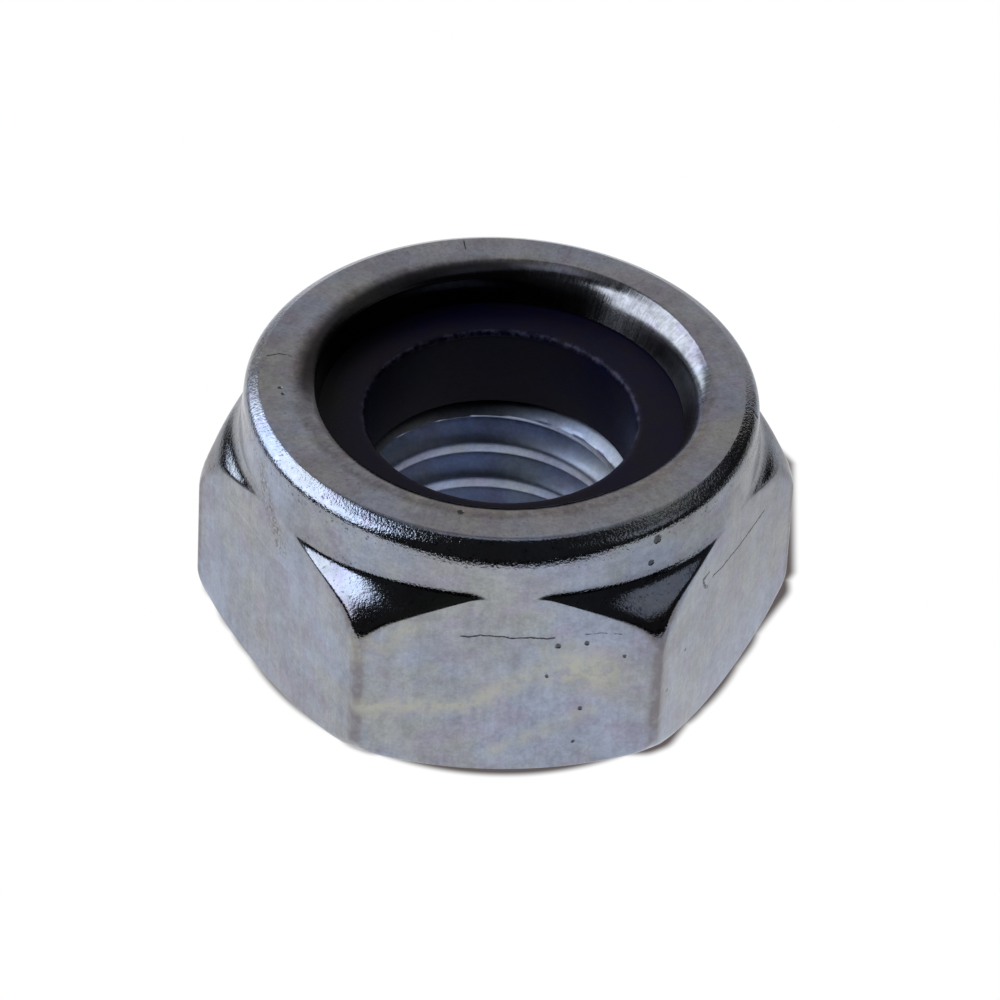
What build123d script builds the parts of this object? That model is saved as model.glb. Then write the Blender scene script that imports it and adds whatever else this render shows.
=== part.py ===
"""M10 hexagon lock nut with a nylon locking ring, in millimetres.

The steel body is one piece: a hexagon whose upper end is turned down to a thin collar. A plain nylon
ring lies in the collar, on a ledge above the thread, and the collar's edge is rolled inwards over it.
The ring's bore is smaller than the bolt, so it grips the bolt's thread as the nut is run down.
The origin is the centre of the bearing face, and +Z points to the rolled end.
"""

import os
from math import radians, sqrt, tan

from build123d import *

# Thread
thread_diameter = 10.0
thread_pitch = 1.5
thread_height = 5.25  # from the bearing face to the ledge under the ring
countersink_angle = 30.0  # slope of the countersinks at both ends of the thread
countersink_overlap = 0.35  # how far the lower countersink's mouth is outside the thread

# Hexagon
across_flats = 17.0
hexagon_height = 7.15  # from the bearing face to the upper chamfer, at the middle of a flat
corner_round = 0.22  # along the upright edges
corner_trim = 0.03  # how far the turned blank is inside the sharp corners
bearing_inset = 0.45  # from the middle of a flat to the edge of the bearing face
lower_chamfer_angle = 30.0
lower_chamfer_round = 1.3
upper_chamfer_angle = 37.5
upper_chamfer_round = 2.6

# Collar
nut_height = 9.4
collar_stand_out = 0.1  # how far the foot of the collar is outside the flats
collar_lean = 0.25  # how much narrower the collar is at its shoulder than at its foot
collar_foot_round = 0.3
collar_wall = 1.0
shoulder_round = 0.85

# Lip, which is the collar's edge rolled inwards over the ring
lip_reach = 2.45  # from the flats inwards to the end of the lip
lip_drop = 1.2  # from the top of the nut down to the lowest point of the lip
lip_end_height = 0.3  # the upright part of the lip's end
lip_end_round = 0.14
lip_face_angle = 60.0  # slope of the face that was the collar's edge before rolling
lip_face_round = 0.35
lip_bevel_width = 0.5  # between that face and the level top
lip_bevel_angle = 14.0
lip_bevel_round = 0.9
lip_underside_angle = 12.0

# Nylon ring
ring_interference = 1.16  # how much smaller the ring's bore is than the thread
ring_clearance = 0.05  # between the ring and the steel around and above it
ring_edge_round = 0.3


def rise(angle, run):
    """Height gained over a level run by a slope of that angle, in degrees."""
    return run * tan(radians(angle))


def run(angle, height):
    """Level length of a slope of that angle, in degrees, that gains a height."""
    return height / tan(radians(angle))


# Thread: 5/8 of the sharp thread's depth, sqrt(3) / 2 of the pitch, is cut into the wall.
thread_radius = thread_diameter / 2
thread_crest_radius = thread_radius - 5 / 8 * sqrt(3) / 2 * thread_pitch
countersink_radius = thread_radius + countersink_overlap
lower_countersink_depth = rise(countersink_angle, countersink_radius - thread_crest_radius)
upper_countersink_depth = rise(countersink_angle, thread_radius - thread_crest_radius)

# Hexagon
flat_radius = across_flats / 2
blank_radius = across_flats / sqrt(3) - corner_trim
bearing_radius = flat_radius - bearing_inset
lower_chamfer_height = rise(lower_chamfer_angle, blank_radius - bearing_radius)
upper_chamfer_height = hexagon_height - rise(upper_chamfer_angle, blank_radius - flat_radius)

# Collar and lip
foot_radius = flat_radius + collar_stand_out
foot_height = hexagon_height - rise(upper_chamfer_angle, foot_radius - flat_radius)
shoulder_radius = foot_radius - collar_lean
groove_radius = shoulder_radius - collar_wall
lip_radius = flat_radius - lip_reach
lip_base_height = nut_height - lip_drop
lip_shoulder_height = lip_base_height + lip_end_height
lip_brow_height = nut_height - rise(lip_bevel_angle, lip_bevel_width)
lip_brow_radius = lip_radius + run(lip_face_angle, lip_brow_height - lip_shoulder_height)
top_inner_radius = lip_brow_radius + lip_bevel_width
groove_height = lip_base_height + rise(lip_underside_angle, groove_radius - lip_radius)

# Nylon ring
ring_bore_radius = thread_radius - ring_interference / 2
ring_radius = groove_radius - ring_clearance
ring_height = lip_base_height - ring_clearance
ring_rim_height = ring_height + rise(lip_underside_angle, ring_radius - lip_radius)

# Each section is a list of corners: radius from the axis, height, and size of the corner's rounding.
body_section = [
    (countersink_radius, 0, 0),
    (bearing_radius, 0, 0),
    (blank_radius, lower_chamfer_height, lower_chamfer_round),
    (blank_radius, upper_chamfer_height, upper_chamfer_round),
    (foot_radius, foot_height, collar_foot_round),
    (shoulder_radius, nut_height, shoulder_round),
    (top_inner_radius, nut_height, lip_bevel_round),
    (lip_brow_radius, lip_brow_height, lip_face_round),
    (lip_radius, lip_shoulder_height, lip_end_round),
    (lip_radius, lip_base_height, 0),
    (groove_radius, groove_height, 0),
    (groove_radius, thread_height, 0),
    (thread_radius, thread_height, 0),
    (thread_crest_radius, thread_height - upper_countersink_depth, 0),
    (thread_crest_radius, lower_countersink_depth, 0),
]
ring_section = [
    (ring_bore_radius, thread_height, 0),
    (ring_radius, thread_height, 0),
    (ring_radius, ring_rim_height, 0),
    (lip_radius, ring_height, 0),
    (ring_bore_radius, ring_height, ring_edge_round),
]

# Steel body: the turned blank, with the flats of the hexagon cut from it.
with BuildPart() as nut_body:
    with BuildSketch(Plane.XZ):
        with BuildLine():
            FilletPolyline(
                [(radius, height) for radius, height, rounding in body_section],
                radius=[rounding for radius, height, rounding in body_section],
                close=True,
            )
        make_face()
    revolve(axis=Axis.Z)
    with BuildSketch(Plane.XY) as hexagon:
        RegularPolygon(radius=flat_radius, side_count=6, major_radius=False)
        fillet(hexagon.vertices(), radius=corner_round)
    extrude(amount=nut_height, mode=Mode.INTERSECT)
nut_body.part.label = "nut_body"

# Nylon ring: flat below, and pressed to the shape of the lip above.
with BuildPart() as nylon_ring:
    with BuildSketch(Plane.XZ):
        with BuildLine():
            FilletPolyline(
                [(radius, height) for radius, height, rounding in ring_section],
                radius=[rounding for radius, height, rounding in ring_section],
                close=True,
            )
        make_face()
    revolve(axis=Axis.Z)
nylon_ring.part.label = "nylon_ring"

os.makedirs("parts", exist_ok=True)
export_step(nut_body.part, "parts/nut_body.step")
export_step(nylon_ring.part, "parts/nylon_ring.step")
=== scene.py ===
"""Looks of the M10 hexagon lock nut: its zinc-plated steel body with the thread, and its nylon ring.

Sizes are millimetres, as in the part's source, and turn into metres where a mesh is made. The origin is
the centre of the bearing face, +Z points to the rolled end, and azimuths are degrees from +X towards +Y.
"""

from math import acos, cos, degrees, pi, radians, sin, tan

import bpy
import numpy as np
from mathutils import Matrix, Vector, noise


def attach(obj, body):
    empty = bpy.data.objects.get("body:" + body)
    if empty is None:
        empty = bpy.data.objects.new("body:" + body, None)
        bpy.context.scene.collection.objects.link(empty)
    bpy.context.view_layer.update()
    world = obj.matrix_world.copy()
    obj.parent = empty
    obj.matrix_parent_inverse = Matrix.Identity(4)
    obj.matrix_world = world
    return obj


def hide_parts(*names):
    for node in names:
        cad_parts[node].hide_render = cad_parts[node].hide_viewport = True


MM = 0.001
TURN = 2 * pi

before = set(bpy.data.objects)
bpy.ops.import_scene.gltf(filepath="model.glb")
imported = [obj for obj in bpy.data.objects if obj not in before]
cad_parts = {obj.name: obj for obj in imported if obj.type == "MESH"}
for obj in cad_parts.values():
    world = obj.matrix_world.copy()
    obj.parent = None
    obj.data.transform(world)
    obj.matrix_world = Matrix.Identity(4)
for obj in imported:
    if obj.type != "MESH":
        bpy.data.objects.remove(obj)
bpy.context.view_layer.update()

# Sizes repeated from the part's source
flat_radius = 8.5
corner_round = 0.22
nut_height = 9.4
thread_radius = 5.0
thread_crest_radius = 4.188
thread_pitch = 1.5
thread_height = 5.25
countersink_radius = 5.35
countersink_slope = tan(radians(30))

# Corners of the body's section, from the bearing face up the outside to the collar's wall: radius,
# height, and size of the rounding. Both chamfers start on a cylinder just outside the hexagon's
# corners. The groove holds the ring.
CHAMFER_RADIUS = 9.785
BODY_CORNERS = [
    (countersink_radius, 0.0, 0),
    (8.05, 0.0, 0.15),
    (CHAMFER_RADIUS, 1.002, 1.3),
    (CHAMFER_RADIUS, 6.164, 2.6),
    (8.53, 7.2, 0.3),
    (8.427, 8.5, 0),
]
GROOVE_CORNERS = [
    (5.96, 8.2, 0),
    (7.35, 8.476, 0),
    (7.35, thread_height, 0),
    (thread_radius, thread_height, 0),
]
WALL_CORNER = 1
FOOT_CORNER = 4
TOP_CORNER = 5

# The rolled end came out uneven. Its shoulder is rounder at the front than elsewhere, and its lip is
# rounded on most of the ring and bevelled around one azimuth. The spreads are where one section
# turns into the other, in degrees from the azimuth.
SHOULDER_ROUND = [(8.427, 8.5, 0), (8.38, 9.1, 1.05), (7.87, nut_height, 0.1), (7.3, nut_height, 0)]
SHOULDER_TIGHT = [(8.427, 8.5, 0), (8.38, 9.1, 0.5), (7.87, nut_height, 0.1), (7.3, nut_height, 0)]
SHOULDER_AZIMUTH = -90
SHOULDER_SPREAD = (6, 34)
SHOULDER_ROWS = 26
LIP_ROUNDED = [(7.3, nut_height, 0), (6.45, nut_height, 1.45), (6.07, 9.18, 0.1), (5.96, 8.2, 0)]
LIP_BEVELLED = [(7.3, nut_height, 0), (6.9, nut_height, 0.12), (6.42, 9.15, 1.0), (5.96, 8.2, 0)]
LIP_AZIMUTH = 18
LIP_SPREAD = (85, 28)
LIP_ROWS = 26

# Corners of the nylon ring's section, from its foot in the bore round the outside.
RING_CORNERS = [
    (4.42, thread_height, 0),
    (7.30, thread_height, 0),
    (7.30, 8.416, 0),
    (6.05, 8.15, 0.1),
    (4.42, 8.15, 0.22),
    (4.42, thread_height, 0),
]

# Wear that the photograph shows, in millimetres on the body's surface.
# Cracks and scratches: half width, then the points that the line runs through.
CRACKS = {
    "across the ring": (
        0.022,
        [(-7.6, 1.45, 9.4), (-7.2, 1.56, 9.4), (-6.85, 1.44, 9.4), (-6.25, 1.35, 9.3)],
    ),
    "nick at the back": (0.02, [(-0.95, 7.72, 9.4), (-0.89, 7.24, 9.4)]),
    "second nick": (0.018, [(-2.84, 7.1, 9.4), (-2.78, 6.95, 9.4)]),
    "front flat": (
        0.026,
        [(-1.55, -8.5, 5.9), (-1.3, -8.5, 5.86), (-0.95, -8.5, 5.93), (-0.3, -8.5, 5.88)]
        + [(0.2, -8.5, 5.8), (0.7, -8.5, 5.84), (1.2, -8.5, 5.79), (1.44, -8.5, 5.84)],
    ),
    "front flat, faint end": (0.014, [(2.4, -8.5, 5.98), (2.87, -8.5, 6.04), (4.15, -8.45, 6.0)]),
    "right flat": (0.033, [(6.72, -5.36, 5.82), (6.98, -4.91, 5.72), (7.72, -3.63, 5.7), (8.6, -2.1, 5.88)]),
    "hook": (0.065, [(6.33, -6.04, 6.2), (6.4, -5.92, 5.85), (6.5, -5.75, 5.66)]),
    "hook's top": (0.045, [(6.33, -6.04, 6.2), (6.54, -5.67, 6.22)]),
}
# Ridge between two of the left flat's facets: a faint bump, and a lighter, bluer colour painted along it as
# its highlight
RIDGE_LINE = [(-8.87, -1.63, 5.93), (-8.2, -2.8, 5.8), (-7.55, -3.93, 5.64), (-5.54, -7.4, 5.83)]
# Pits: place and radius
PITS = [
    ((4.67, -7.01, 8.7), 0.15),
    ((4.51, -7.22, 7.88), 0.1),
    ((8.16, -1.22, 9.07), 0.1),
    ((-1.63, -6.55, 9.4), 0.1),
    ((-7.23, -0.24, 9.4), 0.06),
    ((-7.14, -0.55, 9.4), 0.06),
    ((1.56, -8.5, 5.49), 0.09),
    ((2.48, -8.5, 5.62), 0.08),
    ((3.72, -8.5, 5.08), 0.06),
    ((1.26, -8.5, 4.23), 0.06),
    ((2.39, -8.5, 2.88), 0.07),
    ((2.23, -8.5, 1.47), 0.05),
    ((5.81, -6.94, 4.01), 0.05),
    ((5.21, -7.98, 3.2), 0.05),
]
# Yellow passivation stains: half width, strength, and the line that they follow
STAINS = [
    (0.4, 0.75, [(-4.6, -8.5, 2.9), (-1.16, -8.5, 3.0), (0.86, -8.5, 4.4)]),
    (0.3, 0.5, [(-0.4, -8.5, 1.0), (2.71, -8.5, 2.79)]),
    (0.9, 0.9, [(1.7, -8.5, 4.6), (2.9, -8.5, 4.4)]),
    (0.6, 0.6, [(-4.7, -8.5, 5.3), (-3.3, -8.5, 6.1)]),
]
# Azimuth at the middle of the black painted shade inside the lip
LIP_SHADE_AZIMUTH = 132
BROWN_STAIN = [(-7.85, -3.15, 8.4), (-7.6, -3.7, 7.4), (-7.2, -4.5, 6.2)]

# Mesh
COLUMNS_PER_FLAT = 72
WALL_ROWS = 96
CREASE_WIDTH = 0.24
CREASE_SPREAD = (8, 28)
RING_COLUMNS = 288
# The thread's points this near to the bearing face or the ledge become the points of its edge
WELD_HEIGHT = 0.012
# The collar's line shapes the wall only above this height, clear of the bottom chamfer
COLLAR_FROM = 4

# Fillet at the foot of the collar, which ends at the middle of each flat and is wider at the front,
# and a fine ridge in it
FILLET_WIDTH = 0.28
FILLET_SPREAD = (1, 9)
FRONT_AZIMUTH = -90
FRONT_WIDTH = 0.3
FRONT_SPREAD = (20, 45)
RIDGE_PLACE = 7.35
RIDGE_PATCHES = 2.5
RIDGE_HEIGHT = 0.014

# Parts of the body's surface that its material tells apart
MASKS = ("ring", "lip", "shoulder", "collar", "chamfer", "flat", "corner", "bore")

# Camera, fitted to the photograph
CAMERA_AZIMUTH = -4.485
CAMERA_ELEVATION = 39.17
CAMERA_ROLL = 3.067
CAMERA_TARGET = (0, 0, 4.25)
CAMERA_DISTANCE = 237.5
CAMERA_LENS = 259.74
CAMERA_SHIFT = (0.0041, 0.0073)

# Lit parts of the studio: middle and half width in azimuth, then in elevation, all in degrees, with
# the width of the soft edge, and the brightness in red, green and blue
PANELS = {
    "backdrop": (86, 36, 24, 28, 4, (0.46, 0.43, 0.41)),
    "backdrop's top": (84, 32, 64, 13, 12, (0.205, 0.2, 0.205)),
    "softbox": (169, 41, 34, 24, 3, (2.3, 2.5, 2.8)),
    "right wall": (28, 26, 55, 9, 5, (0.28, 0.28, 0.27)),
    "right fill": (-20, 17, 34, 13, 3, (0.24, 0.25, 0.27)),
    "ceiling": (90, 80, 80, 8, 5, (0.3, 0.32, 0.37)),
}

# Paper in front of the nut, as its metal shows it: where it ends in front and on the right and left
PAPER_FRONT = -38
PAPER_RIGHT = 45
PAPER_LEFT = -60
PAPER_FRONT_SOFT = 6
PAPER_SIDE_SOFT = 10
# Its brightness, which falls over this stretch from left to right, and behind the nut
PAPER_STRETCH = (2.0, 20.0)
PAPER_LIGHT = (0.88, 0.64)
PAPER_BEHIND = 0.5
# Painted shade on the paper inside the bore, under the nut, which only metal shows
PAPER_IN_BORE = (0.6, 0.61, 0.66, 1)

# Shadow on the floor: hexagons cut by a circle, as their place and the circle's radius. The last of
# them is the foot of the nut's upright corners, whose shadow falls away behind it.
SHADOW_SHAPES = [
    (0.06, -0.2, 8.1),
    (0.08, 0.15, 8.4),
    (0.12, 0.6, 8.75),
    (0.06, 1.0, 9.0),
    (0.3, 1.22, 9.6),
    (0.36, 1.95, 9.8),
]
# SHADOW_FALL is how far it falls, SHADOW_EDGE the width of the soft edge, and SHADOW_FADE the
# stretch behind the nut over which the shadow ends.
SHADOW_FALL = (0.4, 5.65)
SHADOW_EDGE = 0.36
SHADOW_FADE = (6.5, 11.5)


# ---------------------------------------------------------------- sections


def round_corner(before, corner, after, radius):
    """Points along the arc that rounds one corner of a section."""
    before, corner, after = (np.array(p, float) for p in (before, corner, after))
    if radius == 0:
        return [corner]
    back = (before - corner) / np.linalg.norm(before - corner)
    ahead = (after - corner) / np.linalg.norm(after - corner)
    half = acos(float(np.clip(back @ ahead, -1, 1))) / 2
    middle = (back + ahead) / np.linalg.norm(back + ahead)
    centre = corner + middle * radius / sin(half)
    start = corner + back * radius / tan(half) - centre
    end = corner + ahead * radius / tan(half) - centre
    sweep = pi - 2 * half
    steps = max(3, int(degrees(sweep) / 3))
    shares = np.linspace(0, 1, steps + 1)
    return [
        centre + (sin((1 - s) * sweep) * start + sin(s * sweep) * end) / sin(sweep)
        for s in shares
    ]


def rounded_section(corners):
    """The section's points, rounded, with the number of the corner that each point belongs to."""
    points, owners = [], []
    for i, (radius, height, rounding) in enumerate(corners):
        before = corners[max(i - 1, 0)][:2]
        after = corners[min(i + 1, len(corners) - 1)][:2]
        arc = round_corner(before, (radius, height), after, rounding)
        points += arc
        owners += [i] * len(arc)
    return np.array(points), np.array(owners)


def resample(points, spacing, rows=None):
    """Points along a line, with the spacing between them in proportion to a function of the place."""
    steps = np.linalg.norm(np.diff(points, axis=0), axis=1)
    along = np.concatenate([[0], np.cumsum(steps)])
    fine = np.linspace(0, along[-1], 4000)
    radius = np.interp(fine, along, points[:, 0])
    height = np.interp(fine, along, points[:, 1])
    density = 1 / spacing(radius, height)
    count = np.concatenate([[0], np.cumsum((density[1:] + density[:-1]) / 2 * np.diff(fine))])
    wanted = np.linspace(0, count[-1], rows or int(np.ceil(count[-1])) + 1)
    places = np.interp(wanted, count, fine)
    return np.stack([np.interp(places, along, points[:, 0]), np.interp(places, along, points[:, 1])], 1)


def smooth_step(value, low, high):
    share = np.clip((value - low) / (high - low), 0, 1)
    return share * share * (3 - 2 * share)


def smooth_minimum(a, b, width):
    """The lesser of two values, blended where they differ by less than the width."""
    share = np.clip(0.5 + 0.5 * (b - a) / width, 0, 1)
    return b + (a - b) * share - width * share * (1 - share)


def smooth_maximum(a, b, width):
    return -smooth_minimum(-a, -b, width)


# ---------------------------------------------------------------- steel body


def bumps(points, scale, seed):
    """Smooth noise from -1 to 1 at each point."""
    shift = Vector((seed * 7.31, seed * 3.17, seed * 5.53))
    return np.array([noise.noise(Vector(p) * scale + shift) for p in points])


def angle_between(angles, azimuth):
    """Degrees between azimuths in radians and one in degrees."""
    return np.abs((np.degrees(angles) - azimuth + 180) % 360 - 180)


def column_angles():
    """Azimuths of the body's columns, closer together at the corners of the hexagon."""
    fine = np.linspace(-30, 30, 6001)
    density = 1 + 5 * np.exp(-(((np.abs(fine) - 30) / 0.9) ** 2))
    count = np.concatenate([[0], np.cumsum((density[1:] + density[:-1]) / 2)])
    wanted = np.linspace(0, count[-1], COLUMNS_PER_FLAT + 1)[:-1]
    sector = np.interp(wanted, count, fine)
    flats = [sector + 30 + 60 * k for k in range(6)]
    return np.radians(np.concatenate(flats))


def degrees_from_flat(angles):
    """Degrees between each azimuth and the middle of the nearest flat."""
    return np.abs(np.degrees(angles) % 60 - 30)


def hexagon_radius(angles):
    """Distance from the axis to the rounded hexagon, two of whose flats face -Y and +Y."""
    from_flat = degrees_from_flat(angles)
    flat = flat_radius / np.cos(np.radians(from_flat))
    centre = (flat_radius - corner_round) / cos(pi / 6)
    turn = np.radians(30 - from_flat)
    inside = np.maximum(corner_round**2 - (centre * np.sin(turn)) ** 2, 0)
    arc = centre * np.cos(turn) + np.sqrt(inside)
    arc_starts = degrees(np.arctan((flat_radius - corner_round) * tan(pi / 6) / flat_radius))
    return np.where(from_flat > arc_starts, arc, flat)


def blended_rows(sections, share, rows):
    """Radius and height of rows between two sections, with a share of the second for each column."""

    def spacing(radius, height):
        return np.where((height < 9.0) & (radius < 7.0), 0.14, np.where(height < 9.399, 0.06, 0.15))

    first, second = (
        resample(rounded_section(corners)[0], spacing, rows)[:, :, None] for corners in sections
    )
    blended = first + (second - first) * share
    return blended[:, 0], blended[:, 1]


def wall_profile(section, owners, angles):
    """Radius of the wall at each height: chamfers and collar, with a fillet between at the corners."""
    chamfer = section[(owners > WALL_CORNER) & (owners < FOOT_CORNER)]
    foot, top = np.array(BODY_CORNERS[FOOT_CORNER][:2]), section[owners == TOP_CORNER][0]
    bottom = section[owners == WALL_CORNER][-1:]
    slope = chamfer[-1] - foot
    beyond = foot - slope / abs(slope[1]) * (top[1] - foot[1])
    chamfer = np.concatenate([bottom, chamfer, [foot, beyond]])
    fine = np.linspace(bottom[0, 1], top[1], 1500)
    outer = np.interp(fine, chamfer[:, 1], chamfer[:, 0])
    collar = foot[0] + (fine - foot[1]) * (top[0] - foot[0]) / (top[1] - foot[1])
    collar = np.where(fine > COLLAR_FROM, collar, 0)
    from_flat = degrees_from_flat(angles)[:, None]
    front = 1 - smooth_step(angle_between(angles, FRONT_AZIMUTH), *FRONT_SPREAD)[:, None]
    width = 0.02 + (FILLET_WIDTH + FRONT_WIDTH * front) * smooth_step(from_flat, *FILLET_SPREAD)
    return fine, smooth_maximum(outer[None], collar[None], width)


def body_grids(angles):
    """Radius and height of the outside's rows: bearing face, wall, then shoulder, lip and groove."""
    section, owners = rounded_section(BODY_CORNERS)
    hexagon = hexagon_radius(angles)
    fine, profile = wall_profile(section, owners, angles)
    share = smooth_step(CHAMFER_RADIUS - hexagon, 0, 0.4)[:, None]
    share = share * smooth_step(degrees_from_flat(angles)[:, None], *CREASE_SPREAD)
    radii = smooth_minimum(profile, hexagon[:, None], 0.02 + CREASE_WIDTH * share)
    around = np.stack([RIDGE_PATCHES * np.cos(angles), RIDGE_PATCHES * np.sin(angles), 0 * angles], 1)
    ridge = RIDGE_HEIGHT * np.clip(bumps(around, 1.0, 2) + 0.35, 0, 1)[:, None]
    ridge = ridge * np.exp(-(((fine - RIDGE_PLACE) / 0.06) ** 2))
    radii += ridge * smooth_step(hexagon[:, None] - radii, 0.02, 0.2)

    # More rows where the wall bends most
    bend = np.abs(np.gradient(np.arctan(np.gradient(radii, fine, axis=1)), fine, axis=1))
    count = np.cumsum(3 + 1.6 * bend + 2 * smooth_step(fine, 7.0, 7.6), 1)
    wanted = np.linspace(0, 1, WALL_ROWS + 2)[1:-1]
    heights = np.stack([np.interp(c[0] + wanted * (c[-1] - c[0]), c, fine) for c in count], 1)
    radii = np.stack([np.interp(h, fine, r) for h, r in zip(heights.T, radii)], 1)

    columns = len(angles)
    bottom = resample(
        section[owners <= WALL_CORNER], lambda radius, height: np.where(radius < 7.9, 0.8, 0.05)
    )
    groove = resample(rounded_section(GROOVE_CORNERS)[0], lambda radius, height: 0.9 + 0 * radius)[1:]
    tight = smooth_step(angle_between(angles, SHOULDER_AZIMUTH), *SHOULDER_SPREAD)
    shoulder_r, shoulder_z = blended_rows((SHOULDER_ROUND, SHOULDER_TIGHT), tight, SHOULDER_ROWS)
    bevelled = smooth_step(angle_between(angles, LIP_AZIMUTH), *LIP_SPREAD)
    lip_r, lip_z = blended_rows((LIP_ROUNDED, LIP_BEVELLED), bevelled, LIP_ROWS)
    rows_r = [np.full(columns, r) for r, z in bottom] + list(radii)
    rows_z = [np.full(columns, z) for r, z in bottom] + list(heights)
    rows_r += list(shoulder_r[:-1]) + list(lip_r)
    rows_z += list(shoulder_z[:-1]) + list(lip_z)
    rows_r += [np.full(columns, r) for r, z in groove]
    rows_z += [np.full(columns, z) for r, z in groove]
    return np.array(rows_r), np.array(rows_z)


# Half a pitch of the internal thread: height from the crest's middle, and radius. The other half is
# its mirror image.
THREAD_HALF = [
    (0.08, 4.19),
    (0.14, 4.198),
    (0.19, 4.216),
    (0.24, 4.25),
    (0.3, 4.315),
    (0.38, 4.44),
    (0.48, 4.63),
    (0.59, 4.85),
    (0.66, 4.96),
]
THREAD_PROFILE = (
    [(0.0, thread_crest_radius)]
    + THREAD_HALF
    + [(thread_pitch / 2, thread_radius)]
    + [(thread_pitch - height, radius) for height, radius in reversed(THREAD_HALF)]
)
THREAD_PHASE = 1.53  # height of a crest's middle at azimuth 0


def thread_grid(angles):
    """Radius and height of the thread's rows, which climb one pitch in each turn."""
    rise = thread_pitch * angles / TURN
    heights, radii = [], []
    for turn in range(-3, 4):
        for height, radius in THREAD_PROFILE:
            heights.append(THREAD_PHASE + turn * thread_pitch + height + rise)
            radii.append(np.full(len(angles), radius))
    heights, radii = np.array(heights), np.array(radii)
    low = countersink_radius - heights / countersink_slope
    high = thread_radius - (thread_height - heights) / countersink_slope
    return np.maximum(radii, np.maximum(low, high)), heights


def join_rows(faces, first, second, columns):
    """Adds the quads between two rows of vertex numbers."""
    for i in range(columns):
        j = (i + 1) % columns
        faces.append((first[i], first[j], second[j], second[i]))


def build_body():
    """The whole body as one closed mesh: outside, lip, groove and thread."""
    angles = column_angles()
    columns = len(angles)
    radii, heights = body_grids(angles)
    outside = np.stack([radii * np.cos(angles), radii * np.sin(angles), heights], -1)
    rows = len(outside)
    numbers = np.arange(rows * columns).reshape(rows, columns)
    points = [outside.reshape(-1, 3)]
    faces = []
    for row in range(rows - 1):
        join_rows(faces, numbers[row], numbers[row + 1], columns)

    bore_r, bore_z = thread_grid(angles)
    bore = np.stack([bore_r * np.cos(angles), bore_r * np.sin(angles), bore_z], -1)
    bore_numbers = rows * columns + np.arange(bore_z.size).reshape(bore_z.shape)
    points.append(bore.reshape(-1, 3))
    bore_numbers = np.where(bore_z <= WELD_HEIGHT, numbers[0], bore_numbers)
    bore_numbers = np.where(bore_z >= thread_height - WELD_HEIGHT, numbers[-1], bore_numbers)
    per_pitch = len(THREAD_PROFILE)
    for row in range(len(bore_numbers) - 1):
        for i in range(columns):
            if i < columns - 1:
                right = bore_numbers[row : row + 2, i + 1]
            elif row + 1 + per_pitch < len(bore_numbers):
                right = bore_numbers[row + per_pitch : row + per_pitch + 2, 0]
            else:
                continue
            left = bore_numbers[row : row + 2, i]
            face = []
            for number in (left[0], left[1], right[1], right[0]):
                if number not in face:
                    face.append(int(number))
            on_edge = all(number < rows * columns for number in face)
            if len(face) > 2 and not on_edge:
                faces.append(tuple(face))
    return np.concatenate(points), faces


def make_mesh(name, points, faces, sharp_angle):
    """A smooth-shaded object from points in millimetres, without the points that no face uses."""
    used = np.unique(np.concatenate([np.array(f, int) for f in faces]))
    renumber = np.full(len(points), -1)
    renumber[used] = np.arange(len(used))
    mesh = bpy.data.meshes.new(name)
    mesh.from_pydata((points[used] * MM).tolist(), [], [tuple(renumber[list(f)]) for f in faces])
    mesh.validate()
    mesh.shade_smooth()
    mesh.set_sharp_from_angle(angle=radians(sharp_angle))
    made = bpy.data.objects.new(name, mesh)
    bpy.context.scene.collection.objects.link(made)
    return made, points[used]


def add_attribute(made, name, values):
    """A number for each vertex, which the material reads."""
    attribute = made.data.attributes.new(name, "FLOAT", "POINT")
    attribute.data.foreach_set("value", values.astype(np.float32))


def dress_body():
    """The steel body around nut_body, with a mask for each part that its material tells apart."""
    points, faces = build_body()
    made, points = make_mesh("nut_body_zinc", points, faces, 40)
    radius = np.hypot(points[:, 0], points[:, 1])
    angle = np.arctan2(points[:, 1], points[:, 0])
    height = points[:, 2]
    hexagon = hexagon_radius(angle)
    outside = smooth_step(radius, 7.6, 7.8)
    to_corner = radius * np.radians(30 - degrees_from_flat(angle))
    below_flat = hexagon - radius
    fan = 0.3 + 0.75 * smooth_step(height, 5.2, 6.5) ** 2
    masks = {
        "ring": smooth_step(height, 9.37, 9.39),
        "lip": smooth_step(-radius, -7.0, -6.75) * smooth_step(height, 7.7, 7.9),
        "shoulder": outside * smooth_step(height, 8.4, 8.6) * smooth_step(-height, -9.397, -9.36),
        "collar": outside * smooth_step(height, 7.15, 7.3) * (1 - smooth_step(height, 8.5, 8.8)),
        "chamfer": outside
        * smooth_step(below_flat, 0.03, 0.1)
        * smooth_step(height, 5.0, 5.3)
        * (1 - smooth_step(height, 7.5, 7.8)),
        "flat": outside * (1 - smooth_step(below_flat, 0.02, 0.1)),
        "corner": outside
        * (1 - smooth_step(to_corner, 0.8 * fan, fan))
        * (1 - smooth_step(height, 6.3, 6.7))
        * smooth_step(height, 0.8, 1.8),
        "bore": smooth_step(-radius, -5.3, -5.2) * smooth_step(-height, -5.3, -5.2),
    }
    for name in MASKS:
        add_attribute(made, name, masks[name])
    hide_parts("nut_body")
    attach(made, "root")
    return made


# ---------------------------------------------------------------- nylon ring


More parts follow.
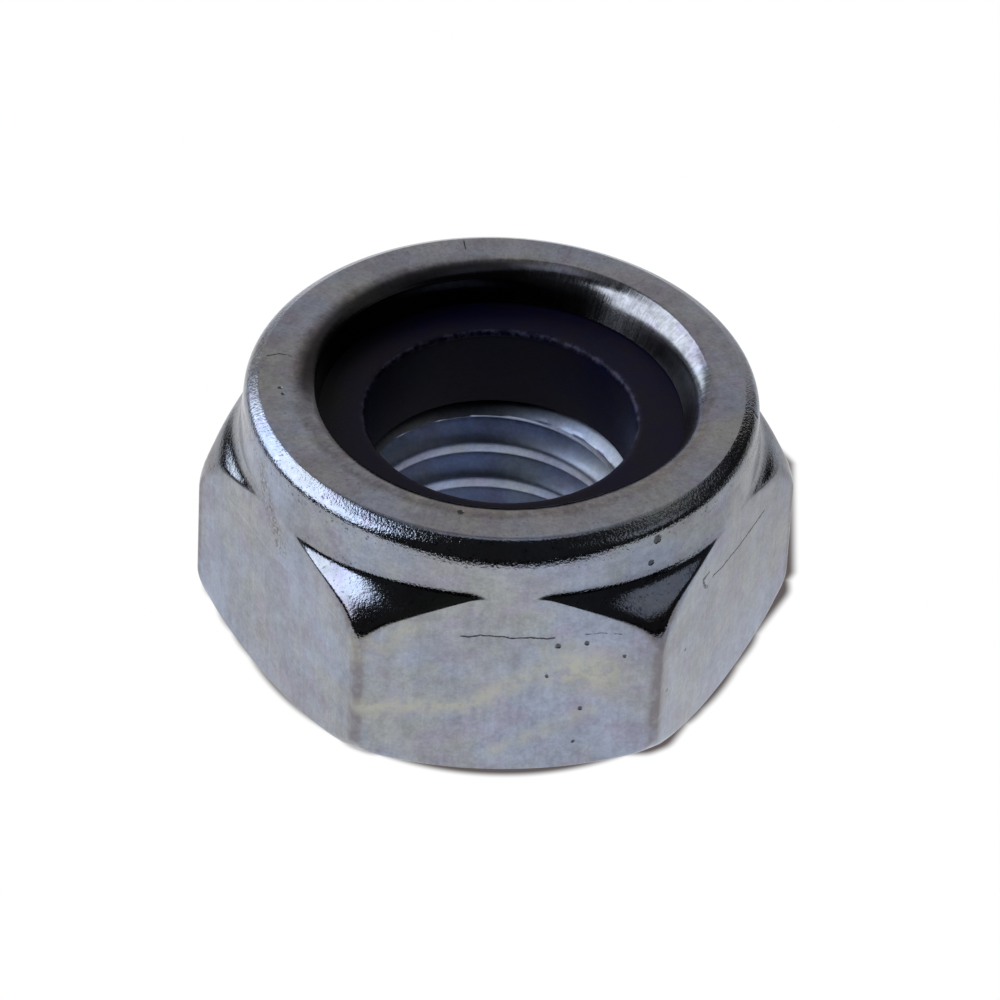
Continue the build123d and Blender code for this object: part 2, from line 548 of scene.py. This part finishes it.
def dress_ring():
    """The nylon ring around nylon_ring, with a mask for the burred rim of its bore, which gets burr relief
    and painted highlights.
    """
    section, owners = rounded_section(RING_CORNERS)

    def spacing(radius, height):
        seen = (radius < 6.3) & ((height > 7.8) | (radius < 4.5))
        return np.where(seen, 0.09, 0.6)

    path = resample(section, spacing)[:-1]
    angles = np.arange(RING_COLUMNS) * TURN / RING_COLUMNS
    rows = len(path)
    grid = np.stack(
        [
            path[:, 0][:, None] * np.cos(angles),
            path[:, 0][:, None] * np.sin(angles),
            np.tile(path[:, 1][:, None], (1, RING_COLUMNS)),
        ],
        -1,
    )
    numbers = np.arange(rows * RING_COLUMNS).reshape(rows, RING_COLUMNS)
    faces = []
    for row in range(rows):
        join_rows(faces, numbers[row], numbers[(row + 1) % rows], RING_COLUMNS)
    made, points = make_mesh("nylon_ring_navy", grid.reshape(-1, 3), faces, 50)
    radius = np.hypot(points[:, 0], points[:, 1])
    rim = smooth_step(-radius, -4.6, -4.48) * smooth_step(points[:, 2], 7.95, 8.05)
    add_attribute(made, "rim", rim)
    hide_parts("nylon_ring")
    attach(made, "root")
    return made


# ---------------------------------------------------------------- shader helpers


class Shader:
    """A node tree, with one short method for each kind of node. Each returns an output socket."""

    def __init__(self, tree):
        self.tree = tree
        tree.nodes.clear()

    def add(self, kind, inputs=(), **settings):
        node = self.tree.nodes.new(kind)
        for name, value in settings.items():
            setattr(node, name, value)
        for key, value in dict(inputs).items():
            socket = node.inputs[key]
            if isinstance(value, bpy.types.NodeSocket):
                self.tree.links.new(value, socket)
            else:
                socket.default_value = value
        return node

    def math(self, operation, a, b=0.0, c=0.0):
        node = self.add("ShaderNodeMath", {0: a, 1: b, 2: c}, operation=operation)
        return node.outputs[0]

    def vector(self, operation, a, b):
        node = self.add("ShaderNodeVectorMath", {0: a, 1: b}, operation=operation)
        return node.outputs["Vector"]

    def dot(self, a, b):
        node = self.add("ShaderNodeVectorMath", {0: a, 1: b}, operation="DOT_PRODUCT")
        return node.outputs["Value"]

    def apart(self, a, b):
        """Distance between two places."""
        node = self.add("ShaderNodeVectorMath", {0: a, 1: b}, operation="DISTANCE")
        return node.outputs["Value"]

    def combine(self, x, y, z):
        return self.add("ShaderNodeCombineXYZ", {0: x, 1: y, 2: z}).outputs[0]

    def separate(self, vector):
        return self.add("ShaderNodeSeparateXYZ", {0: vector}).outputs

    def attribute(self, name):
        return self.add("ShaderNodeAttribute", attribute_name=name).outputs["Fac"]

    def noise(self, vector, scale, detail=2.0, roughness=0.5, distortion=0.0):
        inputs = {
            "Vector": vector,
            "Scale": scale,
            "Detail": detail,
            "Roughness": roughness,
            "Distortion": distortion,
        }
        return self.add("ShaderNodeTexNoise", inputs).outputs["Fac"]

    def span(self, value, low, high, start=0.0, end=1.0):
        """Smoothly from start to end while the value goes from low to high."""
        inputs = {"Value": value, "From Min": low, "From Max": high, "To Min": start, "To Max": end}
        node = self.add("ShaderNodeMapRange", inputs, interpolation_type="SMOOTHSTEP")
        return node.outputs["Result"]

    def mix(self, share, a, b):
        """Between two numbers."""
        node = self.add("ShaderNodeMix", {0: share, 2: a, 3: b}, data_type="FLOAT")
        return node.outputs[0]

    def blend(self, share, a, b, how="MIX"):
        """Between two colours."""
        node = self.add("ShaderNodeMix", {0: share, 6: a, 7: b}, data_type="RGBA", blend_type=how)
        return node.outputs[2]

    def distance(self, place, points):
        """Distance from a place to a line through points."""
        nearest = None
        for start, end in zip(points, points[1:]):
            step = Vector(end) - Vector(start)
            rest = self.vector("SUBTRACT", place, start)
            along = self.dot(rest, tuple(step / step.length_squared))
            along = self.math("MINIMUM", self.math("MAXIMUM", along, 0.0), 1.0)
            reached = self.vector("MULTIPLY", self.combine(along, along, along), tuple(step))
            away = self.apart(rest, reached)
            nearest = away if nearest is None else self.math("MINIMUM", nearest, away)
        return nearest

    def mark(self, place, points, inner, outer):
        """1 on a line through points, 0 beyond the outer distance from it."""
        return self.span(self.distance(place, points), inner, outer, 1.0, 0.0)

    def bump(self, height, depth, normal=None):
        """Relief from a height of 0 to 1, of that depth in millimetres."""
        inputs = {"Height": height, "Distance": depth * MM}
        if normal is not None:
            inputs["Normal"] = normal
        return self.add("ShaderNodeBump", inputs).outputs[0]


def srgb(red, green, blue):
    """A colour as a picture shows it, from 0 to 255, turned into the linear one that a shader takes."""
    values = []
    for value in (red, green, blue):
        share = value / 255
        values.append(share / 12.92 if share < 0.04045 else ((share + 0.055) / 1.055) ** 2.4)
    return (*values, 1)


def direction(azimuth, elevation):
    """Unit vector towards a place in the sky, in degrees."""
    a, e = radians(azimuth), radians(elevation)
    return Vector((cos(a) * cos(e), sin(a) * cos(e), sin(e)))


# ---------------------------------------------------------------- materials


def object_place(s):
    """The shaded point in the object's own millimetres."""
    return s.vector("MULTIPLY", s.add("ShaderNodeTexCoord").outputs["Object"], (1 / MM,) * 3)


def shifted_noise(s, place, shift, scale, detail=3.0, roughness=0.55, distortion=0.0):
    return s.noise(s.vector("ADD", place, shift), scale, detail, roughness, distortion)


def zinc_wear(s, place):
    """Masks of the cracks, the pits and the two kinds of stain."""
    grain = shifted_noise(s, place, (3, 9, 27), 5.0, 3, 0.6)
    ragged = shifted_noise(s, place, (13, 2, 5), 2.2, 4, 0.65)
    wobble = s.math("MULTIPLY", s.math("SUBTRACT", grain, 0.5), 0.12)
    wavy = s.vector("ADD", place, s.combine(wobble, wobble, wobble))
    cracks = 0.0
    for width, points in CRACKS.values():
        cracks = s.math("MAXIMUM", cracks, s.mark(wavy, points, width * 0.5, width * 1.3))
    cracks = s.math("MULTIPLY", cracks, s.span(ragged, 0.3, 0.45, 0.45, 1.0))

    pits = 0.0
    for centre, size in PITS:
        away = s.apart(wavy, centre)
        pits = s.math("MAXIMUM", pits, s.span(away, size * 0.7, size * 1.35, 1.0, 0.0))

    yellow = 0.0
    broken = s.span(ragged, 0.35, 0.6, 0.25, 1.0)
    for width, strength, points in STAINS:
        stain = s.math("MULTIPLY", s.mark(place, points, 0.0, width * 1.6), strength)
        yellow = s.math("MAXIMUM", yellow, s.math("MULTIPLY", stain, broken))
    specks = s.span(shifted_noise(s, place, (8, 1, 4), 9.0, 2, 0.6), 0.42, 0.58)
    brown = s.math("MULTIPLY", s.mark(place, BROWN_STAIN, 0.12, 0.5), s.math("MULTIPLY", specks, broken))
    return cracks, pits, yellow, brown


def zinc_color(s, place, polar, masks):
    """Blue-grey zinc with soft yellow, blue and violet passivation, brushed lines and dirt."""
    x, y, z, radius, across, ahead = polar
    tint = s.noise(place, 0.3, 3, 0.5, 0.3)
    patch = shifted_noise(s, place, (31, 7, 13), 0.36, 3, 0.55, 0.4)
    cloud = shifted_noise(s, place, (5, 41, 3), 0.9, 3, 0.6)
    color = s.blend(s.span(tint, 0.38, 0.62), srgb(156, 159, 167), srgb(156, 165, 184))
    color = s.blend(s.math("MULTIPLY", s.span(patch, 0.48, 0.64), 0.5), color, srgb(162, 166, 162))
    color = s.blend(s.math("MULTIPLY", s.span(cloud, 0.48, 0.66), 0.6), color, srgb(154, 150, 170))
    dull = s.span(shifted_noise(s, place, (17, 3, 29), 0.7, 5, 0.7), 0.35, 0.65, -0.11, 0.07)
    dull = s.math("ADD", dull, s.span(shifted_noise(s, place, (1, 33, 9), 3.2, 5, 0.7), 0.3, 0.7, -0.1, 0.08))

    upright = s.combine(s.math("MULTIPLY", x, 4), s.math("MULTIPLY", y, 4), s.math("MULTIPLY", z, 0.3))
    lines = s.math("MULTIPLY", masks["flat"], s.span(s.noise(upright, 1.0, 6, 0.72), 0.3, 0.7, -0.06, 0.06))
    around = s.combine(s.math("MULTIPLY", across, 9), s.math("MULTIPLY", ahead, 9), s.math("MULTIPLY", z, 5))
    drawn = s.math("MULTIPLY", masks["collar"], s.span(s.noise(around, 1.0, 4, 0.65), 0.3, 0.7, -0.05, 0.05))
    brushed = s.combine(
        s.math("MULTIPLY", across, 90), s.math("MULTIPLY", ahead, 90), s.math("MULTIPLY", radius, 1.6)
    )
    brushed = s.noise(brushed, 1.0, 3, 0.6)
    ring = s.math("MAXIMUM", masks["lip"], masks["ring"])
    radial = s.math("MULTIPLY", ring, s.span(brushed, 0.3, 0.7, -0.05, 0.05))
    grain = s.span(s.noise(place, 9.0, 4, 0.7), 0.3, 0.7, -0.08, 0.08)
    gain = s.math("ADD", s.math("ADD", 1.0, lines), s.math("ADD", drawn, s.math("ADD", radial, grain)))
    gain = s.math("ADD", gain, dull)
    blotch = shifted_noise(s, place, (7, 19, 2), 2.6, 4, 0.65)
    mottled = s.math("MULTIPLY", s.span(brushed, 0.3, 0.7, 0.85, 1.0), s.span(blotch, 0.35, 0.65, 0.68, 1.0))
    gain = s.math("MULTIPLY", gain, s.mix(masks["lip"], 1.0, mottled))
    gain = s.math("MULTIPLY", gain, s.mix(masks["chamfer"], 1.0, 0.85))
    gain = s.math("MULTIPLY", gain, s.mix(masks["bore"], 1.0, 1.42))
    color = s.blend(1.0, color, s.combine(gain, gain, gain), "MULTIPLY")
    color = s.blend(s.math("MULTIPLY", masks["bore"], 0.8), color, (0.97, 1.0, 1.04, 1), "MULTIPLY")
    worn = s.math("MULTIPLY", masks["corner"], s.span(blotch, 0.36, 0.6, 0.35, 1.0))
    color = s.blend(worn, color, srgb(131, 127, 133))
    color = s.blend(masks["lip"], color, (1.0, 0.95, 0.9, 1), "MULTIPLY")
    return color, brushed


def lip_painted_shade(s, radius, across, ahead, lip):
    """Black painted shade inside the lip, at the back and on the left, and painted shade all round at its
    inner end.
    """
    toward = direction(LIP_SHADE_AZIMUTH, 0)
    facing = s.math("ADD", s.math("MULTIPLY", across, toward.x), s.math("MULTIPLY", ahead, toward.y))
    inner = s.math("MULTIPLY", lip, s.span(radius, 6.4, 6.9, 1.0, 0.0))
    back = s.math("MULTIPLY", inner, s.span(facing, 0.42, 0.72, 0.0, 0.92))
    low = s.math("MULTIPLY", lip, s.span(radius, 6.1, 6.4, 0.75, 0.0))
    return s.math("MAXIMUM", back, low)


def bore_painted_shade(s, height, across, bore):
    """Painted shade under the ring, where the thread starts, less on the right."""
    top = s.math("MULTIPLY", s.span(height, 4.75, 5.05), s.span(across, 0.2, 0.8, 0.85, 0.2))
    return s.math("MULTIPLY", bore, top)


def zinc_material():
    material = bpy.data.materials.new("zinc_plate")
    material.use_nodes = True
    s = Shader(material.node_tree)
    place = object_place(s)
    x, y, z = s.separate(place)
    radius = s.math("SQRT", s.math("ADD", s.math("MULTIPLY", x, x), s.math("MULTIPLY", y, y)))
    across, ahead = s.math("DIVIDE", x, radius), s.math("DIVIDE", y, radius)
    masks = {name: s.attribute(name) for name in MASKS}
    color, brushed = zinc_color(s, place, (x, y, z, radius, across, ahead), masks)
    cracks, pits, yellow, brown = zinc_wear(s, place)

    coarse = s.math("MAXIMUM", masks["shoulder"], masks["chamfer"])
    speckle = shifted_noise(s, place, (2, 6, 4), 12.0, 2, 0.55)
    specks = s.span(shifted_noise(s, place, (9, 5, 1), 8.0, 2, 0.5), 0.62, 0.7)
    specks = s.math("MULTIPLY", specks, s.math("MAXIMUM", coarse, s.math("MULTIPLY", masks["ring"], 0.4)))
    ridge = s.mark(place, RIDGE_LINE, 0.03, 0.1)
    color = s.blend(yellow, color, srgb(182, 183, 171))
    color = s.blend(s.math("MULTIPLY", brown, 0.95), color, srgb(108, 102, 99))
    # Painted highlight along the left flat's ridge
    color = s.blend(s.math("MULTIPLY", ridge, 0.12), color, srgb(160, 172, 196))
    color = s.blend(s.math("MULTIPLY", specks, 0.6), color, srgb(40, 40, 44))
    # Painted shade: the lip's inside darkened at the back, on the left and at its inner end
    color = s.blend(lip_painted_shade(s, radius, across, ahead, masks["lip"]), color, srgb(38, 36, 38))
    # Painted shade at the top of the thread, under the ring
    color = s.blend(bore_painted_shade(s, z, across, masks["bore"]), color, srgb(40, 38, 40))
    dark = s.math("MAXIMUM", cracks, s.math("MULTIPLY", pits, 0.9))
    color = s.blend(s.math("MULTIPLY", dark, 0.85), color, srgb(30, 30, 36))

    smooth = s.span(speckle, 0.3, 0.7, 0.05, 0.12)
    rough = s.mix(coarse, s.span(brushed, 0.3, 0.7, 0.15, 0.22), smooth)
    rough = s.mix(masks["bore"], rough, 0.48)
    relief = s.bump(speckle, 0.002)
    relief = s.bump(s.math("MULTIPLY", speckle, masks["shoulder"]), 0.015, relief)
    relief = s.bump(s.math("MULTIPLY", speckle, masks["chamfer"]), 0.004, relief)
    relief = s.bump(s.math("MULTIPLY", brushed, masks["lip"]), 0.0035, relief)
    relief = s.bump(s.math("SUBTRACT", s.math("MULTIPLY", ridge, 0.2), dark), 0.03, relief)
    inputs = {
        "Base Color": color,
        "Metallic": 1.0,
        "Roughness": rough,
        "Normal": relief,
    }
    shader = s.add("ShaderNodeBsdfPrincipled", inputs)
    s.add("ShaderNodeOutputMaterial", {"Surface": shader.outputs[0]})
    return material


def nylon_material():
    material = bpy.data.materials.new("navy_nylon")
    material.use_nodes = True
    s = Shader(material.node_tree)
    place = object_place(s)
    cloud = s.noise(place, 0.5, 3, 0.6)
    grain = s.noise(place, 14.0, 3, 0.6)
    burr = s.noise(place, 3.5, 4, 0.7)
    color = s.blend(s.span(cloud, 0.38, 0.62), srgb(6, 5, 36), srgb(16, 10, 28))
    rim = s.math("MULTIPLY", s.attribute("rim"), s.span(burr, 0.44, 0.62, 0.0, 1.0))
    # Painted highlight: lighter colour on the burrs of the bore's rim
    color = s.blend(rim, color, srgb(66, 64, 88))
    rough = s.span(grain, 0.3, 0.7, 0.36, 0.5)
    relief = s.bump(grain, 0.006)
    relief = s.bump(s.math("MULTIPLY", burr, s.attribute("rim")), 0.05, relief)
    inputs = {
        "Base Color": color,
        "Roughness": rough,
        "Specular IOR Level": 0.15,
        "Normal": relief,
    }
    shader = s.add("ShaderNodeBsdfPrincipled", inputs)
    s.add("ShaderNodeOutputMaterial", {"Surface": shader.outputs[0]})
    return material


# ---------------------------------------------------------------- studio


def seen_directly(s):
    """1 for the rays that show the background itself: to the camera, in metal and through glass."""
    path = s.add("ShaderNodeLightPath").outputs
    shown = s.math("MAXIMUM", path["Is Camera Ray"], path["Is Glossy Ray"])
    return s.math("MAXIMUM", shown, path["Is Transmission Ray"])


def hexagon_shade(s, place, circle):
    """0 inside a hexagon as wide as the nut and cut by a circle, and 1 outside it."""
    radius = s.math("SQRT", s.dot(place, place))
    distance = s.math("SUBTRACT", radius, circle - flat_radius)
    for azimuth in (30, 90, 150):
        across = s.math("ABSOLUTE", s.dot(place, tuple(direction(azimuth, 0))))
        distance = s.math("SMOOTH_MAX", distance, across, 0.2)
    return s.span(distance, flat_radius, flat_radius + SHADOW_EDGE)


def floor_shadow(s, place):
    """0 in the nut's shadow, which falls behind it and a little to the right, and 1 outside it."""
    shade = 1.0
    for across, ahead, circle in SHADOW_SHAPES:
        rest = s.vector("SUBTRACT", place, (across, ahead, 0))
        shade = s.math("MINIMUM", shade, hexagon_shade(s, rest, circle))
    along = s.math("DIVIDE", s.separate(rest)[1], SHADOW_FALL[1])
    along = s.math("MINIMUM", s.math("MAXIMUM", along, 0.0), 1.0)
    fall = s.vector("MULTIPLY", s.combine(along, along, 0), (*SHADOW_FALL, 0))
    shade = s.math("MINIMUM", shade, hexagon_shade(s, s.vector("SUBTRACT", rest, fall), circle))
    return s.math("MAXIMUM", shade, s.span(s.separate(place)[1], *SHADOW_FADE))


def floor_material():
    """White paper with the nut's shadow drawn in its colour, and darker where only metal shows it."""
    material = bpy.data.materials.new("white_paper")
    material.use_nodes = True
    s = Shader(material.node_tree)
    place = s.vector("MULTIPLY", s.add("ShaderNodeNewGeometry").outputs["Position"], (1 / MM, 1 / MM, 0))
    radius = s.math("SQRT", s.dot(place, place))
    shade = floor_shadow(s, place)
    x, y, _ = s.separate(place)
    front = s.span(y, PAPER_FRONT - PAPER_FRONT_SOFT, PAPER_FRONT + PAPER_FRONT_SOFT)
    lit = s.math("MULTIPLY", s.span(x, *PAPER_STRETCH, *PAPER_LIGHT), front)
    right = s.span(x, PAPER_RIGHT - PAPER_SIDE_SOFT, PAPER_RIGHT + PAPER_SIDE_SOFT, 1.0, 0.05)
    left = s.span(x, PAPER_LEFT - PAPER_SIDE_SOFT, PAPER_LEFT + PAPER_SIDE_SOFT)
    lit = s.math("MULTIPLY", s.math("MULTIPLY", lit, right), left)
    lit = s.math("MAXIMUM", lit, s.span(y, 30.0, 60.0, 0.0, PAPER_BEHIND))
    # Painted shade on the paper inside the bore
    reflected = s.blend(s.span(radius, 5.0, 6.0), PAPER_IN_BORE, s.combine(lit, lit, lit))
    shadowed = s.blend(shade, srgb(98, 91, 91), (1, 1, 1, 1))
    camera = s.add("ShaderNodeLightPath").outputs["Is Camera Ray"]
    color = s.blend(camera, reflected, shadowed)
    glow = s.add("ShaderNodeEmission", {"Color": color, "Strength": 1.0}).outputs[0]
    paper = s.add("ShaderNodeBsdfDiffuse", {"Color": (0.85, 0.85, 0.85, 1)}).outputs[0]
    mixed = s.add("ShaderNodeMixShader", {0: seen_directly(s), 1: paper, 2: glow}).outputs[0]
    s.add("ShaderNodeOutputMaterial", {"Surface": mixed})
    return material


def build_floor():
    """One large triangle, so that no edge crosses the picture."""
    mesh = bpy.data.meshes.new("floor")
    mesh.from_pydata([(-6, -4, 0), (6, -4, 0), (0, 8, 0)], [], [(0, 1, 2)])
    floor = bpy.data.objects.new("floor", mesh)
    floor.location.z = -0.00002
    mesh.materials.append(floor_material())
    bpy.context.scene.collection.objects.link(floor)
    return floor


def panel(s, azimuth, elevation, sides, soft):
    """1 inside a soft-edged window of the sky, whose sides are given in degrees."""
    middle, half_width, level, half_height = sides
    away = s.math("WRAP", s.math("SUBTRACT", azimuth, radians(middle)), pi, -pi)
    across = s.span(
        s.math("ABSOLUTE", away), radians(half_width - soft), radians(half_width + soft), 1.0, 0.0
    )
    off = s.math("ABSOLUTE", s.math("SUBTRACT", elevation, radians(level)))
    upright = s.span(off, radians(half_height - soft), radians(half_height + soft), 1.0, 0.0)
    return s.math("MULTIPLY", across, upright)


def build_world():
    """A dark studio with a lit backdrop behind the nut, a large softbox on its left and fills above."""
    world = bpy.data.worlds.new("studio")
    world.use_nodes = True
    bpy.context.scene.world = world
    s = Shader(world.node_tree)
    ray = s.add("ShaderNodeTexCoord").outputs["Generated"]
    east, north, up = s.separate(ray)
    azimuth, elevation = s.math("ARCTAN2", north, east), s.math("ARCSINE", up)
    light = (0.02, 0.02, 0.02)
    for *sides, soft, color in PANELS.values():
        inside = panel(s, azimuth, elevation, sides, soft)
        glow = s.vector("MULTIPLY", s.combine(inside, inside, inside), color)
        light = s.vector("ADD", light, glow)
    camera = s.add("ShaderNodeLightPath").outputs["Is Camera Ray"]
    color = s.blend(camera, light, (1, 1, 1, 1))
    glow = s.add("ShaderNodeBackground", {"Color": color, "Strength": 1.0}).outputs[0]
    s.add("ShaderNodeOutputWorld", {"Surface": glow})


def build_camera():
    a, e, roll = radians(CAMERA_AZIMUTH), radians(CAMERA_ELEVATION), radians(CAMERA_ROLL)
    back = Vector((sin(a) * cos(e), -cos(a) * cos(e), sin(e)))
    right = Vector((cos(a), sin(a), 0))
    up = back.cross(right)
    local_x = cos(roll) * right + sin(roll) * up
    local_y = -sin(roll) * right + cos(roll) * up
    turned = Matrix((local_x, local_y, back)).transposed().to_4x4()
    turned.translation = (Vector(CAMERA_TARGET) + back * CAMERA_DISTANCE) * MM
    data = bpy.data.cameras.new("camera")
    data.sensor_width = 36
    data.lens = CAMERA_LENS
    data.shift_x, data.shift_y = CAMERA_SHIFT
    data.clip_start = 0.01
    camera = bpy.data.objects.new("camera", data)
    camera.matrix_world = turned
    bpy.context.scene.collection.objects.link(camera)
    bpy.context.scene.camera = camera


body = dress_body()
body.data.materials.append(zinc_material())
ring = dress_ring()
ring.data.materials.append(nylon_material())
build_floor()
build_world()
build_camera()
bpy.context.scene.view_settings.view_transform = "Standard"
